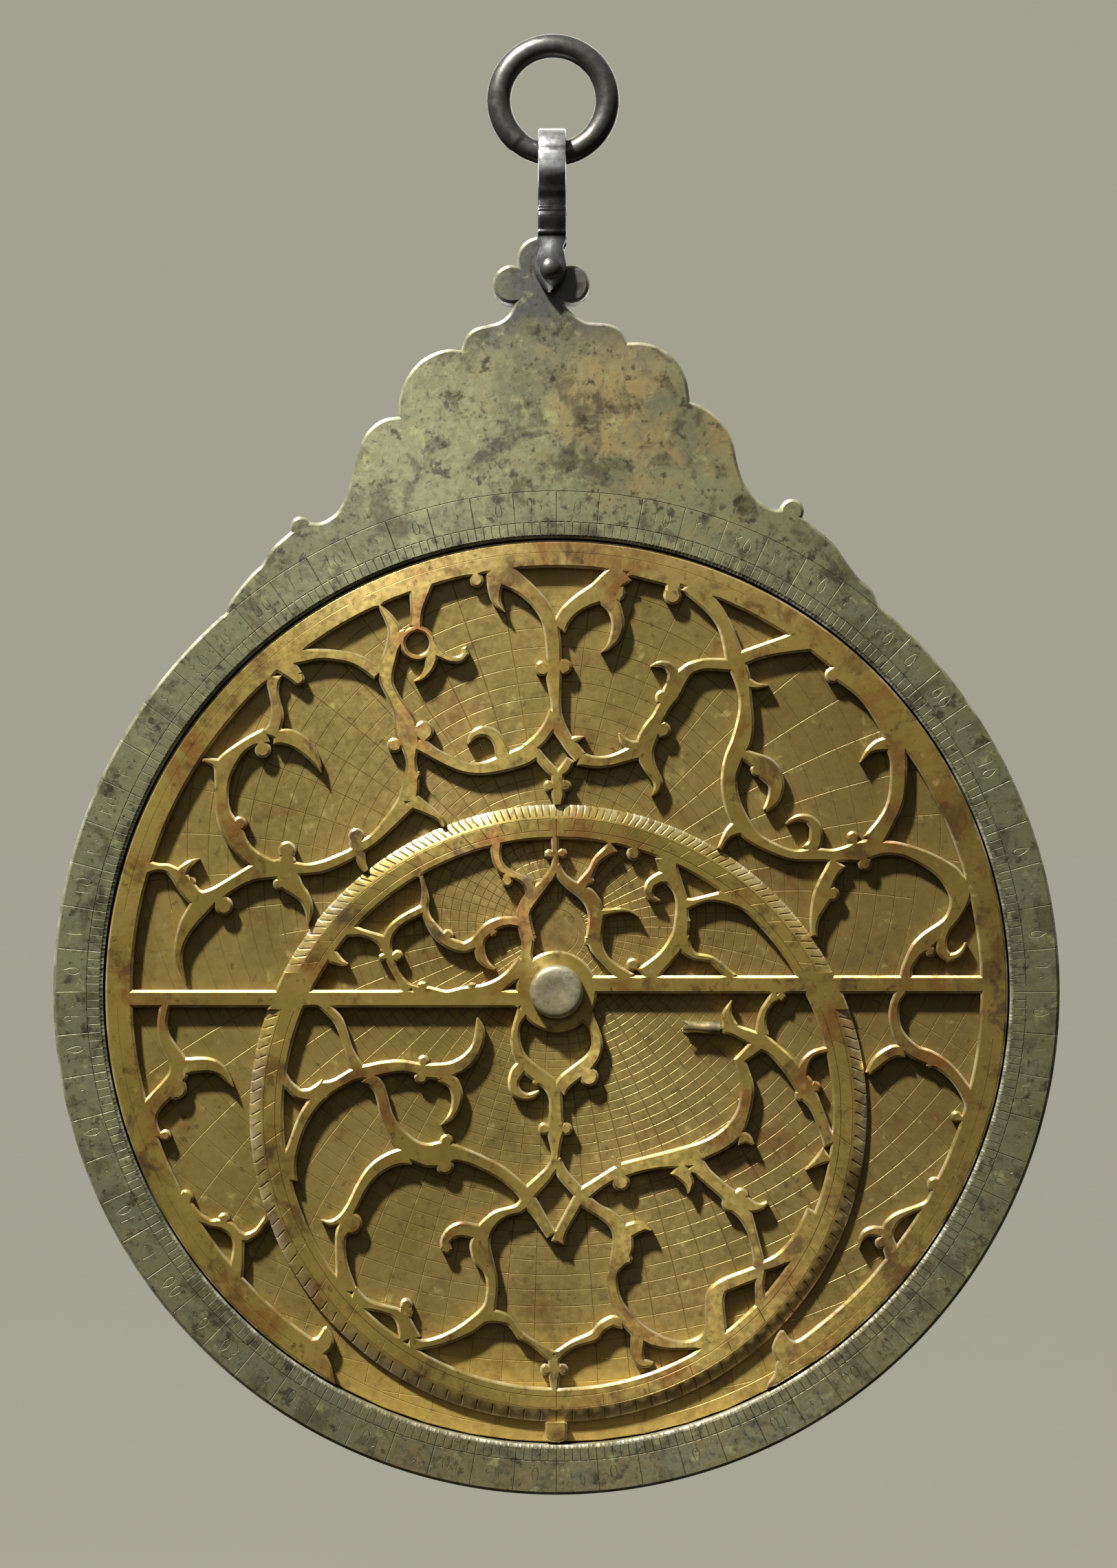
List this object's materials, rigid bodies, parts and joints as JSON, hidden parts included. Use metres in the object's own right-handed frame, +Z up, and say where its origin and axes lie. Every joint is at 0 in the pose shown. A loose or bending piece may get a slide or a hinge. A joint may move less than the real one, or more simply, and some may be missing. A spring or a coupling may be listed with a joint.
{
  "type": "planispheric astrolabe",
  "caption": "Hanging planispheric astrolabe: a deep round mater with a lobed throne, a stack of tympans, an openwork rete, an alidade, a pin and wedge, a shackle and a ring.",
  "frame": {"origin": "the hang point: the top of the hole in the suspension ring, where the support carries the instrument", "axes": "+Z up along the instrument's height, +X to the right seen from the front, +Y from the engraved face to the back"},
  "size_m": [0.183, 0.0246, 0.2661],
  "materials": {
    "mater": "greyed, speckled old brass with worn bright edges",
    "tympan": "olive-toned engraved sheet brass",
    "rete": "warm rubbed brass with reddish stains",
    "sleeve": "grey rolled strip",
    "pin": "dull silvery steel",
    "alidade": "plain rubbed brass",
    "suspension": "dark grey forged metal with worn highlights"
  },
  "bodies": {
    "ring": {"suspension_ring": "suspension"},
    "shackle": {"shackle": "suspension", "shackle_pin": "suspension", "shackle_pin_burr": "suspension"},
    "mater": {"mater_back_plate": "mater", "limb_and_throne": "mater", "tympan_1": "tympan", "tympan_2": "tympan", "tympan_3": "tympan", "tympan_4": "tympan", "tympan_5": "tympan", "centre_pin": "pin", "alidade_washer": "alidade"},
    "rete": {"rete": "rete", "star_pointer_sleeve": "sleeve"},
    "alidade": {"alidade": "alidade", "vane_left": "alidade", "vane_right": "alidade"},
    "horse": {"horse_wedge": "alidade"}
  },
  "joints": [
    {"name": "shackle_swing", "type": "hinge", "parent": "ring", "child": "shackle", "pos_m": [-0.0002, 0, -0.0176], "axis": [1, 0, 0], "range_deg": [-100, 100]},
    {"name": "mater_swing", "type": "hinge", "parent": "shackle", "child": "mater", "pos_m": [-0.0005, 0, -0.0391], "axis": [0, 1, 0], "range_deg": [-75, 75]},
    {"name": "rete_turn", "type": "hinge", "parent": "mater", "child": "rete", "pos_m": [0.0006, 0, -0.1703], "axis": [0, 1, 0], "continuous": true},
    {"name": "alidade_turn", "type": "hinge", "parent": "mater", "child": "alidade", "pos_m": [0.0006, 0, -0.1703], "axis": [0, 1, 0], "continuous": true},
    {"name": "horse_slide", "type": "slide", "parent": "mater", "child": "horse", "axis": [1, 0, 0], "range_m": [0, 0.013]}
  ]
}
